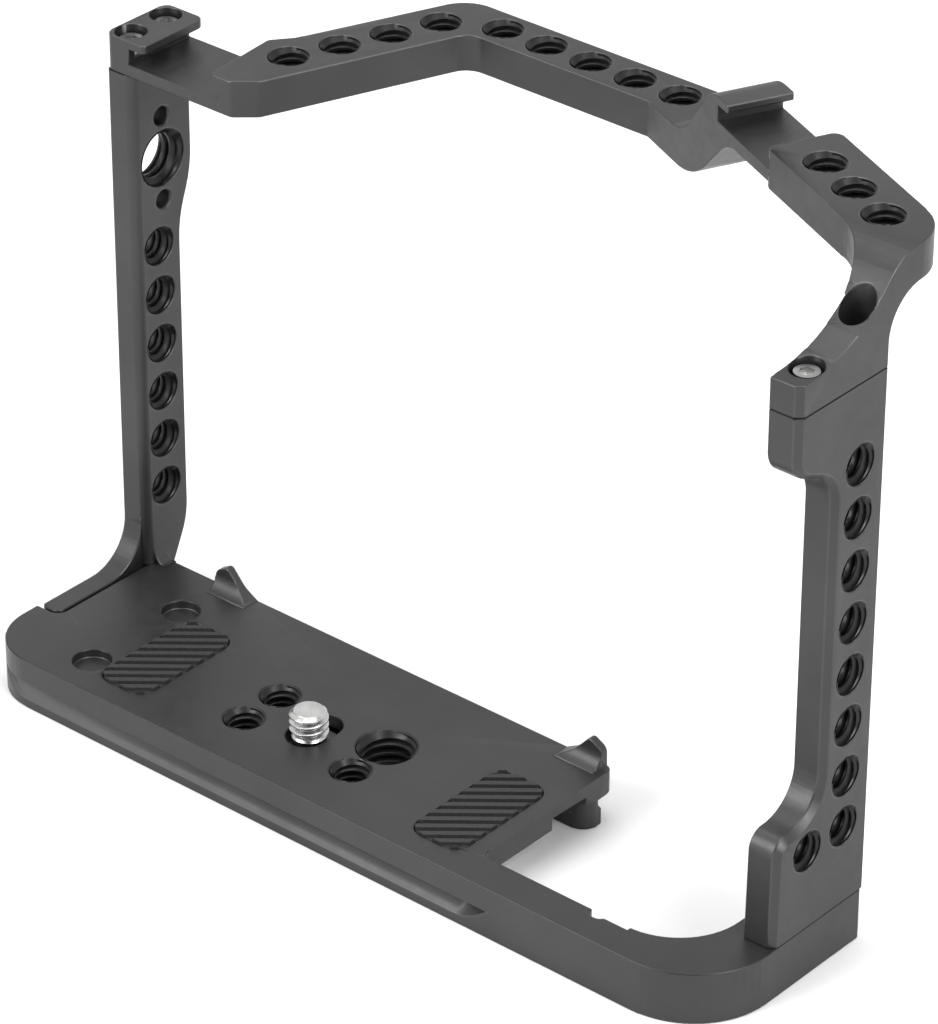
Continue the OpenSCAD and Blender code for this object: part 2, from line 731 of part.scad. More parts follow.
// Upright on the camera's left, with its foot along the plate's edge
module left_side_bar() {
    top_cut = bars_h + over;
    far = lbar_head_depth + bar_t;
    color("#3a3a3c") stand() difference() {
        union() {
            intersection() {
                side_slab(x_left, x_lbar) polygon(rounded([
                    [0, 0, 0],
                    [0, bars_h, 0],
                    [lbar_head_depth, bars_h, 0],
                    [lbar_head_depth, lbar_flare_z + lbar_flare_h, flare_r],
                    [lbar_depth, lbar_flare_z, flare_r],
                    [lbar_depth, toe_z, toe_r],
                    [lbar_depth - toe_in, -toe_drop, fine_r],
                    [plate_front + slide_gap, -toe_drop, 0],
                    [plate_front + slide_gap, 0, 0]
                ]));
                plan_slab(-toe_drop - over, top_cut) polygon(rounded([
                    [x_left, 0, 0],
                    [x_lbar, 0, lbar_inner_r],
                    [x_lbar, lbar_head_depth + over, 0],
                    [x_left, lbar_head_depth + over, 0]
                ]));
            }
            intersection() {
                side_slab(x_left, x_left + foot_w) polygon(rounded([
                    [-foot_reach, -foot_t, 0],
                    [plate_front + slide_gap + over, -foot_t, 0],
                    [plate_front + slide_gap + over, gusset_r + over, 0],
                    [0, gusset_r + over, 0],
                    [0, 0, gusset_r],
                    [-foot_reach, 0, 0]
                ]));
                plan_slab(-foot_t - over, bars_h) polygon(rounded([
                    [x_left, -foot_reach, soft_r],
                    [x_left + foot_w, -foot_reach, soft_r],
                    [x_left + foot_w, lbar_depth, 0],
                    [x_left, lbar_depth, 0]
                ]));
            }
            front_slab(lbar_inner_r, plate_front) polygon(rounded([
                [x_lbar - over, 0, 0],
                [x_lbar + foot_fillet_r, 0, 0],
                [x_lbar + foot_fillet_r, foot_fillet_t, 0],
                [x_lbar, foot_fillet_t, foot_fillet_r],
                [x_lbar, foot_fillet_t + foot_fillet_r, 0],
                [x_lbar - over, foot_fillet_t + foot_fillet_r, 0]
            ]));
        }
        for (k = [0:lbar_holes - 1])
            side_hole(quarter_d, x_lbar, bar_t, lbar_hole_y, lbar_hole_z + k * hole_pitch);
        side_hole(three_eighth_d, x_lbar, bar_t, lbar_big_y, lbar_big_z);
        for (side = [-1, 1])
            side_hole(pin_hole_d, x_lbar, bar_t, lbar_big_y, lbar_big_z + side * pin_hole_off);
        for (y = left_top_y)
            translate([left_top_x, y, bars_h]) bite_hole(joint_screw_d, top_bite, -1);
        for (y = left_foot_y)
            translate([left_foot_x, y, -foot_t]) bite_hole(foot_screw_d, foot_screw_bite, 1);
        outline_chamfer(x_left, -1, lbar_chamfer, [
            [far, -far, 0],
            [far, bars_h + far, 0],
            [0, bars_h + far, 0],
            [0, 0, gusset_r],
            [-foot_reach - far, 0, 0],
            [-foot_reach - far, -far, 0]
        ]);
    }
}

// Blind tapped hole from a joint face, up or down, a little longer than the screw in it
module bite_hole(d, bite, side) {
    depth = bite + 2 * bite_clear;
    low = side > 0 ? -over : -depth;
    translate([0, 0, low]) cylinder(h = depth + over, d = d + 2 * bite_clear);
}

// Upright on the camera's right, with a foot and a head wider than its grip
module right_side_bar() {
    foot_back = rbar_front - rbar_foot_depth;
    grip_back = rbar_front - rbar_grip_depth;
    head_back = rbar_front - rbar_head_depth;
    head_z = bars_h - rbar_head_h;
    far = rbar_front + bar_t;
    rear_corners = [
        [head_back, head_z + head_slope_rise / 2, head_shoulder_r],
        [grip_back, head_z - head_slope_rise / 2, head_neck_r],
        [grip_back, rbar_foot_h, foot_neck_r],
        [foot_back + foot_lean, rbar_foot_h, foot_shoulder_r]
    ];
    color("#3a3a3c") stand() difference() {
        side_slab(x_rbar, x_right) polygon(rounded(concat(
            [[rbar_front, 0, 0], [rbar_front, bars_h, 0], [head_back, bars_h, 0]],
            rear_corners,
            [[foot_back, 0, 0]]
        )));
        outline_chamfer(x_right, 1, rbar_chamfer, concat(
            [[far, -far, 0], [far, bars_h + far, 0], [head_back, bars_h + far, 0]],
            rear_corners,
            [[foot_back, 0, 0], [foot_back, -far, 0]]
        ));
        for (k = [0:rbar_holes - 1])
            side_hole(quarter_d, x_right, bar_t, rbar_row_y, rbar_hole_z + k * hole_pitch);
        side_hole(quarter_d, x_right, bar_t, rbar_row_y - rbar_foot_hole_back, rbar_hole_z);
        for (y = right_top_y)
            translate([right_top_x, y, bars_h]) bite_hole(joint_screw_d, top_bite, -1);
        for (y = right_foot_y)
            translate([right_foot_x, y, 0]) bite_hole(joint_screw_d, right_screw_bite, 1);
    }
}

// Left block with its shoe lip, and the floor of the shoe slot
module left_block() {
    floor_end = shoe_wall_x + soft_r;
    intersection() {
        front_slab(0, lblock_depth) polygon([
            [x_left, bars_h],
            [floor_end, bars_h],
            [floor_end, bars_h + shoe_floor_t],
            [shoe_left_x, bars_h + shoe_floor_t],
            [shoe_left_x, ring_top - shoe_lip_t],
            [shoe_left_x + long_lip, ring_top - shoe_lip_t],
            [shoe_left_x + long_lip, ring_top],
            [x_left, ring_top]
        ]);
        union() {
            plan_slab(bars_h - over, ring_top + over) polygon(rounded([
                [x_left, 0, soft_r],
                [shoe_left_x + long_lip, 0, fine_r],
                [shoe_left_x + long_lip, lblock_depth, soft_r],
                [x_left, lblock_depth, soft_r]
            ]));
            plan_slab(bars_h - over, bars_h + shoe_floor_t) polygon([
                [x_lbar, 0],
                [floor_end, 0],
                [floor_end, lblock_depth],
                [x_lbar, lblock_depth]
            ]);
        }
    }
}

// Level part of the frame: slanted left arm and front rail, up to the bend
module level_part() {
    d = [cos(arm_l_angle), sin(arm_l_angle)];
    inner = arm_start + arm_inner_off * [d.y, -d.x];
    outer = arm_start - (arm_l_w - arm_inner_off) * [d.y, -d.x];
    rail_rear = rail_front - rail_w;
    inner_x = inner.x + (rail_rear - inner.y) * d.x / d.y;
    outer_x = outer.x + (rail_front - outer.y) * d.x / d.y;
    tail_s = knuckle_s + soft_r;
    difference() {
        plan_slab(bars_h, ring_top) polygon(rounded([
            [ring_end_x, 0, fine_r],
            [ring_end_x + ring_rear_run, 0, soft_r],
            [ring_end_x + ring_nose_in.x, ring_nose_in.y, soft_r],
            [inner_x, rail_rear, inner_apex_r],
            [bend_x, rail_rear, 0],
            arm_corner(tail_s, arm_rear_n, 0),
            arm_corner(tail_s, arm_front_n, 0),
            [bend_front_x, rail_front, 0],
            [outer_x, rail_front, apex_r],
            [x_left + ring_flank_in[1], ring_flank_y[1], flank_r],
            [x_left + ring_flank_in[0], ring_flank_y[0], soft_r]
        ]));
        translate([shoe_left_x, -over, bars_h + shoe_floor_t])
            cube([shoe_w, ring_flank_y[1] + 2 * over, shoe_slot_h]);
    }
}

// Knuckle that climbs to the upper level, its shoe lip and the floor of the second slot
module knuckle() {
    ramp_run = (high_top - ring_top) / tan(ramp_angle);
    belly_run = (high_bottom - bars_h) / tan(belly_angle);
    tip_s = shoe_wall_s + long_lip;
    rotate([0, 0, -arm_r_angle]) front_slab(arm_rear_n, arm_front_n) polygon(rounded([
        [knuckle_s, bars_h, 0],
        [belly_foot_s, bars_h, belly_r],
        [belly_foot_s + belly_run, high_bottom, belly_top_r],
        [block_wall_s + soft_r, high_bottom, 0],
        [block_wall_s + soft_r, high_bottom + shoe_floor_t, 0],
        [shoe_wall_s, high_bottom + shoe_floor_t, 0],
        [shoe_wall_s, high_top - shoe_lip_t, 0],
        [tip_s, high_top - shoe_lip_t, fine_r / 2],
        [tip_s, high_top, fine_r / 2],
        [ramp_foot_s + ramp_run, high_top, ramp_out_r],
        [ramp_foot_s, ring_top, ramp_in_r],
        [knuckle_s, ring_top, 0]
    ]));
}

// Side view of the right end: upper level, hollow slope down to the web, and the web's front
module right_end_outline() {
    web_top = bars_h + web_low_h;
    slope_run = (high_top - web_top) / tan(scoop_slope);
    polygon(rounded([
        [rail_front, high_top, 0],
        [scoop_edge_y, high_top, scoop_edge_r],
        [scoop_edge_y - slope_run, web_top, scoop_r],
        [-web_back, web_top, 0],
        [-web_back, bars_h, 0],
        [rbar_front, bars_h, 0],
        [rbar_front, high_bottom, web_front_r],
        [rail_front, high_bottom, 0]
    ]));
}

// Right block on the upper level and the web down to the right bar
module right_end() {
    front_y = (arm_front_n - x_right * sin(arm_r_angle)) / cos(arm_r_angle);
    inner_y = (block_rear_n - x_rbar * sin(arm_r_angle)) / cos(arm_r_angle);
    intersection() {
        side_slab(0, x_right + over) right_end_outline();
        union() {
            plan_slab(high_bottom, high_top) polygon(rounded([
                arm_corner(block_end_s, arm_front_n, soft_r),
                [x_right, front_y, block_corner_r],
                [x_right, rbar_chamfer - web_back, 0],
                [x_right - rbar_chamfer, -web_back, 0],
                [x_rbar, -web_back, 0],
                [x_rbar, inner_y, block_inner_r],
                arm_corner(block_end_s, block_rear_n, soft_r)
            ]));
            plan_slab(bars_h, high_top) polygon(rounded([
                [x_right, front_y, block_corner_r],
                [x_right, rbar_chamfer - web_back, 0],
                [x_right - rbar_chamfer, -web_back, 0],
                [x_rbar, -web_back, 0],
                [x_rbar, front_y, 0]
            ]));
        }
    }
}

// One piece over the camera, from the left bar's head to the right bar's head
module top_frame() {
    arm_d = [cos(arm_l_angle), sin(arm_l_angle)];
    row_y = rail_front - hole_row_in;
    color("#3a3a3c") stand() difference() {
        union() {
            left_block();
            level_part();
            knuckle();
            right_end();
        }
        for (k = [0:arm_holes - 1])
            translate([arm_start.x, arm_start.y, ring_top])
                translate([k * hole_pitch * arm_d.x, k * hole_pitch * arm_d.y, 0])
                through_hole(quarter_d, ring_t);
        for (k = [0:rail_holes - 1])
            translate([rail_first_x + k * hole_pitch, row_y, ring_top]) through_hole(quarter_d, ring_t);
        for (k = [0:block_holes - 1])
            rotate([0, 0, -arm_r_angle])
                translate([block_wall_s + block_hole_s, block_rear_n + block_hole_n, high_top])
                translate([k * hole_pitch, 0, 0]) through_hole(quarter_d, ring_t);
        rotate([0, 0, -arm_r_angle])
            translate([shoe_wall_s, block_rear_n - over, high_bottom + shoe_floor_t])
                cube([shoe_w, arm_r_w + block_extra + 2 * over, shoe_slot_h]);
        for (y = left_top_y) translate([left_top_x, y, bars_h]) top_screw_hole();
        for (y = right_top_y) translate([right_top_x, y, bars_h]) top_screw_hole();
    }
}

// Hole for an upper joint screw: shank hole in the seat and a counterbore up from it
module top_screw_hole() {
    translate([0, 0, -over]) cylinder(h = top_seat_t + 2 * over, d = joint_screw_d + 2 * pass_clear);
    translate([0, 0, top_seat_t]) cylinder(h = high_top, d = top_counterbore_d);
}

// Socket head screw pointing down from the seat of its head at the origin
module joint_screw(d, length) {
    head_h = d * head_h_share;
    tip = d * tip_share;
    difference() {
        union() {
            cylinder(h = head_h, d = d * head_share);
            translate([0, 0, tip - length]) cylinder(h = length - tip + head_h / 2, d = d);
            translate([0, 0, -length]) cylinder(h = tip, d1 = d - tip, d2 = d);
        }
        translate([0, 0, head_h - d * socket_depth_share])
            cylinder(h = d * socket_depth_share + over, d = d * socket_share, $fn = 6);
    }
}

// An upper joint screw in its place
module top_screw(x, y) {
    color("#c9c9c6") stand() translate([x, y, bars_h + top_seat_t]) joint_screw(joint_screw_d, top_screw_len);
}

// A foot screw in its place, pointing up from the seat of its head
module foot_screw(x, y, d, seat, joint_z, bite) {
    color("#c9c9c6") stand() translate([x, y, joint_z - seat]) rotate([180, 0, 0])
        joint_screw(d, seat + bite);
}

module left_top_screw_rear() top_screw(left_top_x, left_top_y[0]);
module left_top_screw_front() top_screw(left_top_x, left_top_y[1]);
module right_top_screw_rear() top_screw(right_top_x, right_top_y[0]);
module right_top_screw_front() top_screw(right_top_x, right_top_y[1]);

module left_foot_screw(i)
    foot_screw(left_foot_x, left_foot_y[i], foot_screw_d, foot_seat_t, -foot_t, foot_screw_bite);
module left_foot_screw_rear() left_foot_screw(0);
module left_foot_screw_middle() left_foot_screw(1);
module left_foot_screw_front() left_foot_screw(2);

module right_foot_screw(i)
    foot_screw(right_foot_x, right_foot_y[i], joint_screw_d, right_seat_t, 0, right_screw_bite);
module right_foot_screw_rear() right_foot_screw(0);
module right_foot_screw_front() right_foot_screw(1);

// Ribbed rubber pad in its recess
module grip_pad(x) {
    low = tape_t - pad_recess;
    reach = pad_len + pad_w;
    grooves = ceil(reach / rib_pitch / 2);
    mid_y = rear_y + pad_in + pad_len / 2;
    color("#2b2b2c") stand() difference() {
        plan_slab(low, pad_proud) pad_outline(x, 0);
        for (k = [-grooves:grooves])
            translate([x, mid_y, pad_proud - rib_depth]) rotate([0, 0, rib_angle])
                translate([-reach / 2, (k - rib_share / 2) * rib_pitch, 0])
                    cube([reach, rib_share * rib_pitch, rib_depth + over]);
    }
}
module left_grip_pad() grip_pad(left_pad_x);
module right_grip_pad() grip_pad(right_pad_x);

// Adhesive tape between a pad and the floor of its recess
module pad_tape(x) {
    color("#8a8a86") stand() plan_slab(-pad_recess, tape_t - pad_recess) pad_outline(x, -pad_gap);
}
module left_pad_tape() pad_tape(left_pad_x);
module right_pad_tape() pad_tape(right_pad_x);

// 1/4 inch screw with a slotted head and a groove round the head for its retaining ring
module camera_screw() {
    groove_low = retainer_top - retainer_t - slide_gap;
    head_low = head_top - head_t;
    bevel = lead_h / 2;
    color("#c9c9c6") stand() translate([screw_x, screw_y, 0]) difference() {
        rotate_extrude() polygon([
            [0, head_low], [head_d / 2 - bevel, head_low], [head_d / 2, head_low + bevel],
            [head_d / 2, groove_low], [groove_r, groove_low],
            [groove_r, retainer_top + slide_gap], [head_d / 2, retainer_top + slide_gap],
            [head_d / 2, head_top], [neck_r, head_top], [neck_r, thread_low],
            [quarter_d / 2, thread_low], [quarter_d / 2, screw_up - lead_h],
            [lead_r, screw_up], [0, screw_up]
        ]);
        translate([-head_d, -driver_slot_w / 2, head_low - over])
            cube([2 * head_d, driver_slot_w, driver_slot_depth + over]);
    }
}

// Split ring in the groove of the head: it can't pass the pocket's mouth, so the screw stays captive
module screw_retaining_ring() {
    ring_r = mouth_r + retainer_grip;
    inner_r = groove_r + slide_gap * 2;
    color("#8d8d8b") stand() translate([screw_x, screw_y, retainer_top - retainer_t]) difference() {
        cylinder(h = retainer_t, r = ring_r);
        translate([0, 0, -over]) cylinder(h = retainer_t + 2 * over, r = inner_r);
        translate([0, -retainer_t, -over]) cube([ring_r + over, 2 * retainer_t, retainer_t + 2 * over]);
    }
}

// Flat washer between the screw's head and the plate, moving along the slot with the screw
module screw_washer() {
    color("#8d8d8b") stand() translate([screw_x, screw_y, -web_t - slide_gap - washer_t]) difference() {
        cylinder(h = washer_t, d = washer_d);
        translate([0, 0, -over]) cylinder(h = washer_t + 2 * over, r = quarter_d / 2 + slot_clear);
    }
}

base_plate();
left_side_bar();
right_side_bar();
top_frame();
left_grip_pad();
right_grip_pad();
left_pad_tape();
right_pad_tape();
camera_screw();
screw_retaining_ring();
screw_washer();
left_top_screw_rear();
left_top_screw_front();
right_top_screw_rear();
right_top_screw_front();
left_foot_screw_rear();
left_foot_screw_middle();
left_foot_screw_front();
right_foot_screw_rear();
right_foot_screw_front();
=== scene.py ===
# %% [markdown]
# # A camera cage in black anodised aluminium
#
# A cage is a light metal frame that bolts round a camera body. It gives the camera dozens of threaded
# holes, two shoe slots and a rail for a tripod clamp. The CAD model holds its real shapes and sizes, and
# this lesson dresses it: every machined edge gets a fine break, every tapped hole its thread, and every
# surface the finish of the real metal.

import json
import math

import bmesh
import bpy
import numpy as np
from mathutils import Matrix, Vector
from mathutils.bvhtree import BVHTree


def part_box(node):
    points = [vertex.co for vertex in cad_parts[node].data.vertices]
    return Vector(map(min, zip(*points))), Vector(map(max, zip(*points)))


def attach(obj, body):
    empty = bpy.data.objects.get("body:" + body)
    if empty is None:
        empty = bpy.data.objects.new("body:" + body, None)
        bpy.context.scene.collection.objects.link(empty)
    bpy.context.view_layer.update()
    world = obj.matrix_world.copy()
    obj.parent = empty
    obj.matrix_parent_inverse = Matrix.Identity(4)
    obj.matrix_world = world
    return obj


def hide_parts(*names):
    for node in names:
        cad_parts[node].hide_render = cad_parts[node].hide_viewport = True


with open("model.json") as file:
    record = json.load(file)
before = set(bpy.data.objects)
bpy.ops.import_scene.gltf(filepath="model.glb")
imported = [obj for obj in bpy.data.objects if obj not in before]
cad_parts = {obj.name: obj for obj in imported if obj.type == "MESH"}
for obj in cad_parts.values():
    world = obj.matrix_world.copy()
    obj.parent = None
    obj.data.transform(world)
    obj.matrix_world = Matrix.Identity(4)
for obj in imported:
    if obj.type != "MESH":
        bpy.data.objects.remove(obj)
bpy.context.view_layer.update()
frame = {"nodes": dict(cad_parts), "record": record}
nodes = frame["nodes"]
MM = 0.001
print("the CAD model holds", len(nodes), "nodes")

# %% [markdown]
# ## Helpers for colour and for shader nodes
#
# Blender's sockets hold linear light, while a colour read from a picture or a paint chart is sRGB. One
# function turns a hex value into linear numbers. A second one adds a shader node with all its settings
# and links, so that a material reads from top to bottom like a recipe.

# %% Colour and node helpers
def colour(hex_value):
    """sRGB hex to linear RGBA: c / 12.92 for dark values, and ((c + 0.055) / 1.055) ** 2.4 above them."""
    c = np.array([int(hex_value[i:i + 2], 16) for i in (1, 3, 5)]) / 255
    linear = np.where(c <= 0.04045, c / 12.92, ((c + 0.055) / 1.055) ** 2.4)
    return (*linear.tolist(), 1.0)


def add_node(tree, kind, inputs=None, **settings):
    """Adds a node. Settings are its properties; inputs give each socket a value, or an output to link."""
    node = tree.nodes.new("ShaderNode" + kind)
    for name, value in settings.items():
        setattr(node, name, value)
    for name, value in (inputs or {}).items():
        if isinstance(value, bpy.types.NodeSocket):
            tree.links.new(value, node.inputs[name])
        else:
            node.inputs[name].default_value = value
    return node


def new_material(name):
    """An empty material: its node tree and its output node."""
    material = bpy.data.materials.new(name)
    material.use_nodes = True
    material.node_tree.nodes.clear()
    return material, material.node_tree, add_node(material.node_tree, "OutputMaterial")


def grain_in_mm(tree, size_mm, detail=3.0, stretch=(1, 1, 1)):
    """Noise on Object coordinates whose blotches are about size_mm across, before any stretch."""
    place = add_node(tree, "TexCoord").outputs["Object"]
    place = add_node(tree, "Mapping", {"Vector": place, "Scale": stretch}).outputs["Vector"]
    scale = 1 / (size_mm * MM)
    return add_node(tree, "TexNoise", {"Vector": place, "Scale": scale, "Detail": detail}).outputs["Fac"]


NOISE_LOW, NOISE_HIGH = 0.3, 0.7
print("white is", colour("#ffffff")[:3], "and noise is read between", NOISE_LOW, "and", NOISE_HIGH)

# %% [markdown]
# ## Black anodised aluminium
#
# The four frame pieces are milled from aluminium plate, blasted with fine beads and then anodised: an
# acid bath grows a hard, clear oxide skin whose pores soak up black dye. Blasting scatters the light, so
# the metal shows soft, wide highlights, and the dye takes most of the metal's own brightness away. The
# grain of the beads is about 0.05 mm, too fine to show here, so it is drawn at 0.35 mm. A slow change
# over centimetres stands for the uneven take-up of the dye.

# %% Anodised aluminium
BASE_TOP, BARS_TOP = 9.1, 100.1


def near_height(tree, height_mm, reach_mm):
    """1 within reach_mm of a height in the frame, and 0 elsewhere."""
    place = add_node(tree, "TexCoord").outputs["Object"]
    z = add_node(tree, "SeparateXYZ", {"Vector": place}).outputs["Z"]
    return add_node(tree, "Math", {0: z, 1: height_mm * MM, 2: reach_mm * MM}, operation="COMPARE").outputs[0]


def anodised_aluminium(name, light, dark, rough, grain, joints=()):
    """Dyed oxide skin on blasted metal: slow blotches in colour, fine grain in roughness and bump. joints
    gives (height, reach, factor): there the colour is multiplied by the factor, as little light gets in."""
    material, tree, output = new_material(name)
    blotch = add_node(tree, "MapRange", {
        "Value": grain_in_mm(tree, 18, 2.0), "From Min": NOISE_LOW, "From Max": NOISE_HIGH})
    fine = grain_in_mm(tree, 0.35, 2.0)
    base = add_node(tree, "Mix", {0: blotch.outputs["Result"], 6: colour(dark), 7: colour(light)},
                    data_type="RGBA").outputs[2]
    # Painted shade: the colour is darkened in a band at each given height, where the pieces meet.
    for height_mm, reach_mm, factor in joints:
        near = near_height(tree, height_mm, reach_mm)
        shade = add_node(tree, "MapRange", {"Value": near, "To Min": 1.0, "To Max": factor})
        base = add_node(tree, "VectorMath", {0: base, "Scale": shade.outputs["Result"]},
                        operation="SCALE").outputs[0]
    roughness = add_node(tree, "MapRange", {
        "Value": grain_in_mm(tree, 2.5, 4.0), "From Min": NOISE_LOW, "From Max": NOISE_HIGH,
        "To Min": rough - 0.04, "To Max": rough + 0.05}).outputs["Result"]
    bump = add_node(tree, "Bump", {"Height": fine, "Strength": grain, "Distance": 0.02 * MM})
    skin = add_node(tree, "BsdfPrincipled", {
        "Base Color": base, "Metallic": 0.75, "Roughness": roughness, "Normal": bump.outputs["Normal"]})
    tree.links.new(skin.outputs["BSDF"], output.inputs["Surface"])
    return material


anodised = anodised_aluminium("blasted_black_anodised_aluminium", "#444444", "#3d3d3d", 0.4, 0.5)
# The edge material is a lighter copy of the anodised finish: a painted highlight on every edge break, with
# painted shade in bands at the two heights where the pieces meet.
edge_painted_highlight_and_seam_shade = anodised_aluminium("black_anodised_edge_painted_highlight_and_seam_shade", "#4c4c4c", "#454545", 0.36, 0.2,
                                   joints=[(BARS_TOP, 0.25, 0.12), (BASE_TOP, 0.35, 0.5)])
# The threads are a darker copy of the anodised finish: painted shade for the inside of the holes.
anodised_thread_painted_shade = anodised_aluminium("black_anodised_thread_painted_shade", "#2e2e2e", "#262626", 0.3, 0.1)
print("finishes of the metal:", anodised.name, edge_painted_highlight_and_seam_shade.name, anodised_thread_painted_shade.name)

# %% [markdown]
# ## Steel, rubber and tape
#
# The camera screw is turned from stainless steel and left bright: the lathe tool leaves fine rings round
# its axis, so the highlight is drawn by a noise that is stretched round that axis. The joint screws are
# stainless too, and duller. The washer and the split ring are stamped from spring steel. The grip pads
# are moulded nitrile rubber: matt and slightly grey, with a fine grain that breaks up the highlight.

# %% Stainless steel
def stainless_steel(name, light, dark, rough, ring_mm):
    """Turned metal: noise squeezed along Z gives rings round the upright axis of a screw."""
    material, tree, output = new_material(name)
    rings = grain_in_mm(tree, ring_mm, 2.0, stretch=(0.15, 0.15, 3))
    tone = add_node(tree, "MapRange", {"Value": rings, "From Min": 0.35, "From Max": 0.65})
    base = add_node(tree, "Mix", {0: tone.outputs["Result"], 6: colour(dark), 7: colour(light)},
                    data_type="RGBA").outputs[2]
    roughness = add_node(tree, "MapRange", {
        "Value": rings, "From Min": NOISE_LOW, "From Max": NOISE_HIGH,
        "To Min": rough, "To Max": rough + 0.1}).outputs["Result"]
    bump = add_node(tree, "Bump", {"Height": rings, "Strength": 0.12, "Distance": 0.01 * MM})
    steel = add_node(tree, "BsdfPrincipled", {
        "Base Color": base, "Metallic": 1.0, "Roughness": roughness, "Normal": bump.outputs["Normal"]})
    tree.links.new(steel.outputs["BSDF"], output.inputs["Surface"])
    return material


turned_steel = stainless_steel("turned_stainless_steel", "#cdcdcc", "#bababa", 0.2, 0.4)
screw_steel = stainless_steel("cold_headed_stainless_steel", "#bcbcbb", "#9a9a99", 0.28, 0.6)
spring_steel = stainless_steel("stamped_spring_steel", "#8f8e8b", "#6f6e6b", 0.34, 0.8)
print("steels:", turned_steel.name, screw_steel.name, spring_steel.name)


# %% Rubber and tape
def matt_polymer(name, light, dark, rough, grain_mm):
    """Rubber or plastic film: no metal, wide highlights, a fine grain in colour and bump."""
    material, tree, output = new_material(name)
    grain = grain_in_mm(tree, grain_mm, 4.0)
    tone = add_node(tree, "MapRange", {"Value": grain, "From Min": 0.35, "From Max": 0.7})
    base = add_node(tree, "Mix", {0: tone.outputs["Result"], 6: colour(dark), 7: colour(light)},
                    data_type="RGBA").outputs[2]
    roughness = add_node(tree, "MapRange", {
        "Value": grain, "From Min": NOISE_LOW, "From Max": NOISE_HIGH,
        "To Min": rough, "To Max": rough + 0.1}).outputs["Result"]
    bump = add_node(tree, "Bump", {"Height": grain, "Strength": 0.4, "Distance": 0.05 * MM})
    skin = add_node(tree, "BsdfPrincipled", {
        "Base Color": base, "Roughness": roughness, "Specular IOR Level": 0.35,
        "Normal": bump.outputs["Normal"]})
    tree.links.new(skin.outputs["BSDF"], output.inputs["Surface"])
    return material


pad_rubber = matt_polymer("moulded_nitrile_rubber", "#303030", "#262626", 0.6, 0.5)
tape_film = matt_polymer("double_sided_tape", "#b6b4ad", "#a09e97", 0.5, 0.8)
print("polymers:", pad_rubber.name, tape_film.name)

# %% [markdown]
# ## A fine break on every machined edge
#
# No milled edge is left sharp: a cutter or a brush breaks it, and the thin bright line that this leaves
# is most of what tells the eye that a dark shape is metal. The CAD mesh has sharp edges, so each frame
# piece is shown by a copy of it. The copy's loose triangles are merged, slivers are dissolved, and every
# edge that turns by more than 28 degrees gets a bevel weight of 1, which a Bevel modifier then cuts.
# A Weighted Normal modifier lets the large faces decide the shading, so that flat ones stay flat. Where
# edges lie closer together than the break is wide, a bevel can fold over, so its weight comes off there.
# The faces of the break take a second material, a little lighter than the rest: a painted highlight that
# adds to the real one, with painted shade in bands at the two heights where the pieces meet.

# %% Bevelled copies
EDGE_BREAK = 0.17 * MM
EDGE_TURN = math.radians(28)
MERGE_REACH, SLIVER = 0.001 * MM, 0.02 * MM
FOLD_SIDE, FOLD_TURN = 0.2 * MM, -0.2
body_of_node = {n: body for body, names in frame["record"]["behaviour"]["bodies"].items() for n in names}
slot_of_node = {row["node"]: row["material_slot"] for row in frame["record"]["subparts"]}


def merged_copy(node, name):
    """Mesh data for a copy of a CAD node: triangles joined, slivers gone, sharp edges weighted 1."""
    mesh = bmesh.new()
    mesh.from_mesh(nodes[node].data)
    bmesh.ops.remove_doubles(mesh, verts=mesh.verts, dist=MERGE_REACH)
    bmesh.ops.dissolve_degenerate(mesh, edges=mesh.edges, dist=SLIVER)
    layer = mesh.edges.layers.float.new("bevel_weight_edge")
    for edge in mesh.edges:
        edge[layer] = float(edge.calc_face_angle(0.0) > EDGE_TURN)
    data = bpy.data.meshes.new(name)
    mesh.to_mesh(data)
    mesh.free()
    return data


def folded_corners(piece, surface):
    """Corners of the faces that the bevel turned over: their normal is against the CAD surface's."""
    shown = piece.evaluated_get(bpy.context.evaluated_depsgraph_get())
    data = shown.to_mesh()
    corners = [data.vertices[v].co.copy() for face in data.polygons if face.area > FOLD_SIDE ** 2
               and face.normal.dot(surface.find_nearest(face.center)[1]) < FOLD_TURN for v in face.vertices]
    shown.to_mesh_clear()
    return np.array(corners).reshape(-1, 3)


def unfold(piece, tries=6):
    """Takes the bevel weight off the edges at the vertices nearest to folded faces, until no folded face
    is left or the tries run out."""
    data = piece.data
    surface = BVHTree.FromPolygons([v.co for v in data.vertices], [list(f.vertices) for f in data.polygons])
    places = np.array([v.co for v in data.vertices])
    ends = np.array([list(e.vertices) for e in data.edges])
    weights = data.attributes["bevel_weight_edge"].data
    for attempt in range(tries):
        corners = folded_corners(piece, surface)
        if len(corners) == 0:
            break
        gaps = np.linalg.norm(corners[:, None] - places[None], axis=2)
        near = np.unique(gaps.argmin(1))
        for edge in np.flatnonzero(np.isin(ends, near).any(1)):
            weights[edge].value = 0.0
        data.update()
    print(piece.name, "has", len(corners) // 3, "folded faces after", attempt + 1, "tries")


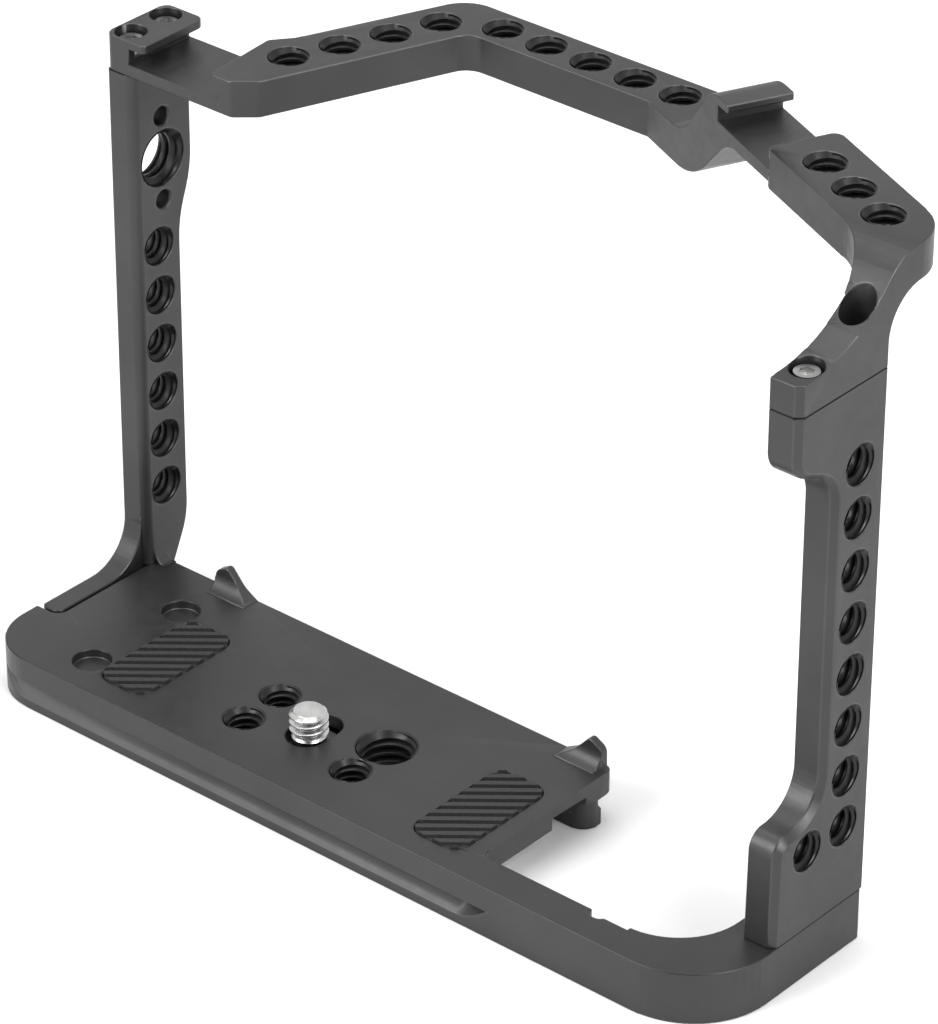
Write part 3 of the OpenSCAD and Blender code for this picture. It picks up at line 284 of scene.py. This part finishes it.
def dressed(node, material, edge_material, width=EDGE_BREAK):
    """The piece that stands for a CAD node: a merged copy with a bevel, smooth over its curved faces."""
    data = merged_copy(node, node + "_machined")
    data.materials.append(material)
    data.materials.append(edge_material)
    data.shade_smooth()
    data.set_sharp_from_angle(angle=math.radians(25))
    piece = bpy.data.objects.new(data.name, data)
    bpy.context.scene.collection.objects.link(piece)
    bevel = piece.modifiers.new("edge break", "BEVEL")
    bevel.limit_method = "WEIGHT"
    bevel.width = width
    bevel.segments = 2
    bevel.use_clamp_overlap = False
    bevel.loop_slide = False
    # Slot 1 is the lighter edge material, so the faces of the break carry a painted highlight.
    bevel.material = 1
    normals = piece.modifiers.new("flat faces stay flat", "WEIGHTED_NORMAL")
    normals.mode = "FACE_AREA_WITH_ANGLE"
    normals.weight = 100
    normals.keep_sharp = True
    unfold(piece)
    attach(piece, body_of_node[node])
    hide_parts(node)
    return piece


for name in ("base_plate", "left_side_bar", "right_side_bar", "top_frame"):
    piece = dressed(name, anodised, edge_painted_highlight_and_seam_shade)
    print(piece.name, "starts from", len(piece.data.polygons), "faces")

# %% [markdown]
# ## Where the holes are
#
# Most accessory holes of the cage lie on rows with a 9 mm pitch. A row is a first place and a step, so
# the places of all its holes are one small array: place number k is first + k * step. The four holes in
# the base are listed one by one. The places are in the frame's millimetres and match the CAD's bores.

# %% Rows of holes
def row(first, step, count):
    """Places first + k * step, for k from 0, in metres."""
    return (np.array(first) + np.arange(count)[:, None] * np.array(step)) * MM


PITCH = 9.0
LEVEL_TOP, UPPER_TOP, CENTRE_Y = 106.4, 117.75, 6.55
left_turn, right_turn = math.radians(68.25), math.radians(25.0)
left_arm_holes = row((-48.27, 12.67 - CENTRE_Y, LEVEL_TOP),
                     (PITCH * math.cos(left_turn), PITCH * math.sin(left_turn), 0), 4)
rail_holes = row((-29.2, 42.33 - CENTRE_Y, LEVEL_TOP), (PITCH, 0, 0), 5)
block_holes = row((50.518, 21.237 - CENTRE_Y, UPPER_TOP),
                  (PITCH * math.cos(right_turn), -PITCH * math.sin(right_turn), 0), 3)
right_bar_holes = np.vstack([row((76.0, -1.85 - CENTRE_Y, BASE_TOP + 14.2), (0, 0, PITCH), 8),
                             row((76.0, -10.75 - CENTRE_Y, BASE_TOP + 14.2), (0, 0, 0), 1)])
left_bar_holes = row((-70.4, 5.06 - CENTRE_Y, BASE_TOP + 13.8), (0, 0, PITCH), 6)
base_holes = np.array([(-27.2, -23.3 - CENTRE_Y, BASE_TOP), (-27.2, -14.67 - CENTRE_Y, BASE_TOP),
                       (-4.33, -23.3 - CENTRE_Y, BASE_TOP)]) * MM
large_base_hole = np.array([(-4.33, -14.67 - CENTRE_Y, BASE_TOP)]) * MM
large_left_hole = np.array([(-70.4, 6.5 - CENTRE_Y, BASE_TOP + 74.3)]) * MM
print("quarter inch holes:", sum(map(len, (left_arm_holes, rail_holes, block_holes, right_bar_holes,
                                           left_bar_holes, base_holes))))

# %% [markdown]
# ## Tapped threads
#
# A tap cuts a helical groove, and what stays between its turns is a ridge: one small trapezium carried
# along a helix. The bore of the CAD model has the thread's outer diameter, so the thread is that ridge
# alone, standing on the bore's wall. Near each face the countersink has cut the ridge back along a cone
# at 45 degrees. That is done to the whole array at once: no point may be nearer the axis than the cone is
# at its height. The first turn therefore fades into the mouth as it does on a real tapped hole.

# %% Threads in the holes
START_ANGLE = math.radians(130.5)
QUARTER, QUARTER_PITCH, QUARTER_MOUTH = 3.175 * MM, 1.27 * MM, 3.525 * MM


def surface_object(name, points, faces, material, smooth=True):
    """A mesh object from arrays of points and of faces with four corners each."""
    data = bpy.data.meshes.new(name)
    data.from_pydata(points.tolist(), [], faces.tolist())
    data.materials.append(material)
    if smooth:
        data.shade_smooth()
    data.set_sharp_from_angle(angle=math.radians(30))
    piece = bpy.data.objects.new(name, data)
    bpy.context.scene.collection.objects.link(piece)
    return piece


def tube_faces(rings, around):
    """Quads between neighbouring rings of a tube whose points are numbered ring by ring."""
    i, j = np.meshgrid(np.arange(rings - 1), np.arange(around), indexing="ij")
    k = (j + 1) % around
    low, high = i * around, (i + 1) * around
    return np.stack([low + j, low + k, high + k, high + j], -1).reshape(-1, 4)


def thread_ridge(radius, pitch, wall, mouth, steps=44):
    """Ridge of an inner thread down from the origin: radius r(t) and depth z(t) of a trapezium, where
    t runs along the helix and z falls by one pitch a turn. r is then held outside both mouth cones."""
    sunk_in_wall, depth_share, root_share, crest_share = 0.04 * MM, 0.54, 0.46, 0.14
    root, crest = radius + sunk_in_wall, radius - depth_share * pitch
    half_root, half_crest = root_share * pitch, crest_share * pitch
    profile_r = np.array([root, crest, crest, root])
    profile_z = np.array([-half_root, -half_crest, half_crest, half_root])
    turns = wall / pitch + 1
    t = np.linspace(0, turns, int(turns * steps) + 1)
    angle = 2 * math.pi * t[:, None] + START_ANGLE
    depth = t[:, None] * pitch - pitch / 2 + profile_z[None, :]
    skin = 0.01 * MM
    depth_in = np.clip(depth, skin, wall - skin)
    from_face = np.minimum(depth_in, wall - depth_in)
    r = np.maximum(profile_r[None, :], mouth - from_face - skin)
    r = np.where(depth_in == depth, r, np.minimum(r, root))
    points = np.stack([r * np.cos(angle), r * np.sin(angle), -depth_in], -1).reshape(-1, 3)
    faces = tube_faces(len(t), 4)
    last = len(t) * 4
    caps = np.array([[3, 2, 1, 0], [last - 4, last - 3, last - 2, last - 1]])
    return points, np.vstack([faces, caps])


def threads(places, turn, radius, pitch, wall, mouth):
    """The same ridge set at each place, turned so that its own -Z points into the metal, as one mesh."""
    points, faces = thread_ridge(radius, pitch, wall, mouth)
    turned = points @ np.array(turn.to_3x3()).T
    everywhere = (places[:, None, :] + turned[None, :, :]).reshape(-1, 3)
    shifts = np.arange(len(places))[:, None, None] * len(points)
    return everywhere, (faces[None] + shifts).reshape(-1, 4)


def thread_piece(name, sets):
    """One piece with all the threads of a frame piece. Each set is the arguments of threads()."""
    parts, faces, count = [], [], 0
    for arguments in sets:
        p, f = threads(*arguments)
        parts.append(p)
        faces.append(f + count)
        count += len(p)
    piece = surface_object(name, np.vstack(parts), np.vstack(faces), anodised_thread_painted_shade)
    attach(piece, "cage")
    print(name, "has", count, "points")


LARGE, LARGE_PITCH, LARGE_MOUTH = 4.765 * MM, 1.5875 * MM, 5.115 * MM
RING_WALL, BAR_WALL, BASE_WALL = 6.3 * MM, 5.6 * MM, 9.1 * MM
down = Matrix.Identity(4)
to_left = Matrix.Rotation(math.radians(90), 4, "Y")
thread_piece("top_frame_threads", [
    (left_arm_holes, down, QUARTER, QUARTER_PITCH, RING_WALL, QUARTER_MOUTH),
    (rail_holes, down, QUARTER, QUARTER_PITCH, RING_WALL, QUARTER_MOUTH),
    (block_holes, down, QUARTER, QUARTER_PITCH, RING_WALL, QUARTER_MOUTH)])
thread_piece("right_bar_threads", [
    (right_bar_holes, to_left, QUARTER, QUARTER_PITCH, BAR_WALL, QUARTER_MOUTH)])
thread_piece("left_bar_threads", [
    (left_bar_holes, to_left, QUARTER, QUARTER_PITCH, BAR_WALL, QUARTER_MOUTH),
    (large_left_hole, to_left, LARGE, LARGE_PITCH, BAR_WALL, LARGE_MOUTH)])
thread_piece("base_threads", [
    (base_holes, down, QUARTER, QUARTER_PITCH, BASE_WALL, QUARTER_MOUTH),
    (large_base_hole, down, LARGE, LARGE_PITCH, BASE_WALL, LARGE_MOUTH)])

# %% [markdown]
# ## The camera screw
#
# The screw is a turned part, so its surface is a radius that depends on the height, all the way round.
# Only the thread breaks that rule: there the radius also depends on the angle, because a helix climbs
# one pitch a turn. Both are one grid: rows go up the screw, columns go round it, and the radius array is
# worked out from the two. Clipping the saw cuts crest and root flat, and a minimum cuts the tip's cone.

# %% Camera screw
screw_low, screw_high = (np.array(corner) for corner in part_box("camera_screw"))
screw_axis = (screw_low + screw_high)[:2] / 2
THREAD_LOW = BASE_TOP + 0.3


def screw_radius(height, angle):
    """Radius of the threaded shank: crest less depth * saw(height / pitch - angle / turn), with crest and
    root cut flat, then limited by the tip's cone and by the cone over the neck."""
    turn = (height / QUARTER_PITCH - angle / (2 * math.pi)) % 1.0
    saw = np.abs(turn - 0.5) * 2
    crest_share, flank_share, depth_share = 0.16, 0.66, 0.56
    depth = depth_share * QUARTER_PITCH * np.clip((saw - crest_share) / flank_share, 0, 1)
    tip_r, tip_slope, neck_r, neck_slope = 2.42 * MM, 1.33, 2.6 * MM, 2.2
    tip_cone = tip_r + tip_slope * (screw_high[2] - height)
    neck_cone = neck_r + neck_slope * np.maximum(height - THREAD_LOW * MM, 0)
    return np.minimum(np.minimum(QUARTER - depth, tip_cone), neck_cone)


def camera_screw_piece(around=160, rows=200):
    """Grid of rings: first the plain head and neck as (radius, height) pairs, then the threaded shank."""
    top = screw_high[2]
    low = screw_low[2]
    angle = np.linspace(0, 2 * math.pi, around, endpoint=False)
    head = np.array([(0.0, 1.3), (4.9, 1.3), (4.9, 0.0), (5.15, 0.0), (5.4, 0.25), (5.4, 1.55), (4.25, 1.6),
                     (4.25, 2.3), (5.4, 2.35), (5.4, 2.6), (5.3, 2.7), (2.875, 2.7), (2.875, 5.9)]) * MM
    head_ring = np.repeat(head[:, :1], around, 1), np.repeat(head[:, 1:] + low, around, 1)
    height = np.linspace(THREAD_LOW * MM, top, rows)
    shank_h = np.repeat(height[:, None], around, 1)
    shank_r = screw_radius(shank_h, angle[None, :])
    tip = np.zeros((1, around)), np.full((1, around), top)
    r = np.vstack([head_ring[0], shank_r, tip[0]])
    z = np.vstack([head_ring[1], shank_h, tip[1]])
    points = np.stack([r * np.cos(angle) + screw_axis[0], r * np.sin(angle) + screw_axis[1], z], -1)
    piece = surface_object("camera_screw_turned", points.reshape(-1, 3), tube_faces(len(r), around),
                           turned_steel)
    mesh = bmesh.new()
    mesh.from_mesh(piece.data)
    bmesh.ops.remove_doubles(mesh, verts=mesh.verts, dist=1e-7)
    mesh.to_mesh(piece.data)
    mesh.free()
    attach(piece, "camera_screw")
    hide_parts("camera_screw")
    print(piece.name, "has", len(piece.data.vertices), "points")


camera_screw_piece()

# %% [markdown]
# ## Pieces that keep their CAD shape
#
# The pads, tapes, washer, split ring and joint screws already have their real form, so they only take a
# finish. A CAD node's mesh is left as it is, and the material goes into its slots.

# %% Finishes of the remaining nodes
finish_of_slot = {"pad_rubber": pad_rubber, "adhesive_tape": tape_film, "stainless_steel": screw_steel,
                  "spring_steel": spring_steel, "anodised_aluminium": anodised}
for name, node in nodes.items():
    if not node.hide_render:
        node.data.materials.clear()
        node.data.materials.append(finish_of_slot[slot_of_node[name]])
        print(name, "is finished as", node.data.materials[0].name)

# %% [markdown]
# ## The studio
#
# The photograph was taken with a long lens from above and behind, on white. The floor is pale, and to the
# camera and in reflections the world is plain white. Two broad soft lamps stand left and right of the
# camera, and a third hangs above the cage. Behind the camera hangs a dark card. Rounded edges and the
# screw turn one narrow side towards it, and so they show a dark line there between two bright ones.

# %% Floor and world
def pale_floor():
    """A wide flat square, 2 by 2 quads, just under the cage."""
    reach = 3.0
    x, y = np.meshgrid(np.linspace(-reach, reach, 3), np.linspace(-reach, reach, 3), indexing="ij")
    points = np.stack([x, y, np.full_like(x, -0.1 * MM)], -1).reshape(-1, 3)
    i, j = np.meshgrid(np.arange(2), np.arange(2), indexing="ij")
    faces = np.stack([i * 3 + j, (i + 1) * 3 + j, (i + 1) * 3 + j + 1, i * 3 + j + 1], -1).reshape(-1, 4)
    material, tree, output = new_material("white_paper_backdrop")
    paper = add_node(tree, "BsdfPrincipled", {"Base Color": colour("#f4f4f4"), "Roughness": 0.9})
    tree.links.new(paper.outputs["BSDF"], output.inputs["Surface"])
    floor = surface_object("floor", points, faces, material, smooth=False)
    print("the floor reaches", reach, "m each way")


pale_floor()
world = bpy.data.worlds.new("studio")
bpy.context.scene.world = world
world.use_nodes = True
tree = world.node_tree
tree.nodes.clear()
rays = add_node(tree, "LightPath")
seen = add_node(tree, "Math", {0: rays.outputs["Is Camera Ray"], 1: rays.outputs["Is Glossy Ray"]},
                operation="MAXIMUM")
seen = add_node(tree, "Math", {0: seen.outputs[0], 1: rays.outputs["Is Transmission Ray"]},
                operation="MAXIMUM")
fill = add_node(tree, "Background", {"Color": colour("#ffffff"), "Strength": 0.45})
white = add_node(tree, "Background", {"Color": colour("#ffffff"), "Strength": 1.0})
mixed = add_node(tree, "MixShader", {0: seen.outputs[0], 1: fill.outputs[0], 2: white.outputs[0]})
add_node(tree, "OutputWorld", {"Surface": mixed.outputs[0]})


# %% Lamps and a dark card
def looking_at(place, target):
    """Matrix whose -Z axis points from place to target and whose X axis is level."""
    back = np.array(place, float) - np.array(target, float)
    back /= np.linalg.norm(back)
    right = np.cross([0.0, 0.0, 1.0], back)
    right /= np.linalg.norm(right)
    up = np.cross(back, right)
    turn = np.eye(4)
    turn[:3, :3] = np.stack([right, up, back], 1)
    turn[:3, 3] = place
    return Matrix(turn.tolist())


def soft_lamp(name, place, target, size, watts):
    """An area lamp at place, turned towards target: its -Z axis is the unit vector between them."""
    data = bpy.data.lights.new(name, "AREA")
    data.shape = "RECTANGLE"
    data.size, data.size_y = size
    data.energy = watts
    lamp = bpy.data.objects.new(name, data)
    lamp.matrix_world = looking_at(place, target)
    bpy.context.scene.collection.objects.link(lamp)
    print(name, "gives", watts, "W")


def dark_card(place, target, width, height):
    """One quad, black on both sides, turned towards target as a lamp would be."""
    x, y = np.array([-1, 1, 1, -1]) * width / 2, np.array([-1, -1, 1, 1]) * height / 2
    material, tree, output = new_material("black_flocked_card")
    felt = add_node(tree, "BsdfPrincipled", {"Base Color": colour("#101010"), "Roughness": 1.0})
    tree.links.new(felt.outputs["BSDF"], output.inputs["Surface"])
    turn = np.array(looking_at(place, target))
    points = np.stack([x, y, np.zeros(4)], -1) @ turn[:3, :3].T + turn[:3, 3]
    card = surface_object("dark_card", points, np.array([[0, 1, 2, 3]]), material, smooth=False)
    print(card.name, "is", width, "by", height, "m")


heart = (0.0, 0.0, 0.05)
dark_card((0.78, -0.91, 0.77), heart, 1.1, 0.9)
soft_lamp("left_softbox", (-0.45, -1.05, 0.75), heart, (0.7, 0.9), 14)
soft_lamp("right_softbox", (1.05, -0.15, 0.75), heart, (0.7, 0.9), 14)
soft_lamp("top_softbox", (-0.1, 0.1, 1.3), heart, (1.0, 1.0), 9)

# %% [markdown]
# ## The camera
#
# The camera's place was solved from the photograph: the rows of holes have a known pitch, so their pixels
# fix where the lens stood. A long lens from about 0.85 m away keeps the perspective gentle.

# %% Camera
PICTURE = (938, 1024)
FOCAL_PIXELS = 5276.14
SENSOR = 36.0
CAMERA_PLACE = (0.458702, -0.543325, 0.471927)
camera_right = np.array([0.759156, 0.650901, 0.003061])
camera_back = np.array([0.556709, -0.651721, 0.515106])

lens = bpy.data.cameras.new("long_lens")
lens.sensor_width = SENSOR
lens.sensor_fit = "AUTO"
lens.lens = FOCAL_PIXELS * SENSOR / max(PICTURE)
lens.clip_start, lens.clip_end = 0.05, 20.0
camera = bpy.data.objects.new("photo_camera", lens)
turn = np.eye(4)
turn[:3, :3] = np.stack([camera_right, np.cross(camera_back, camera_right), camera_back], 1)
turn[:3, 3] = CAMERA_PLACE
camera.matrix_world = Matrix(turn.tolist())
bpy.context.scene.collection.objects.link(camera)
bpy.context.scene.camera = camera
bpy.context.scene.view_settings.view_transform = "Standard"
print("a lens of", round(lens.lens, 1), "mm stands", round(math.dist(CAMERA_PLACE, (0, 0, 0)), 3), "m away")

# %% [markdown]
# ## Bring the scene up to date
#
# The dressed cage has to stay the size of the CAD model. The view layer is updated once more at the end.

# %% Finish
bpy.context.view_layer.update()
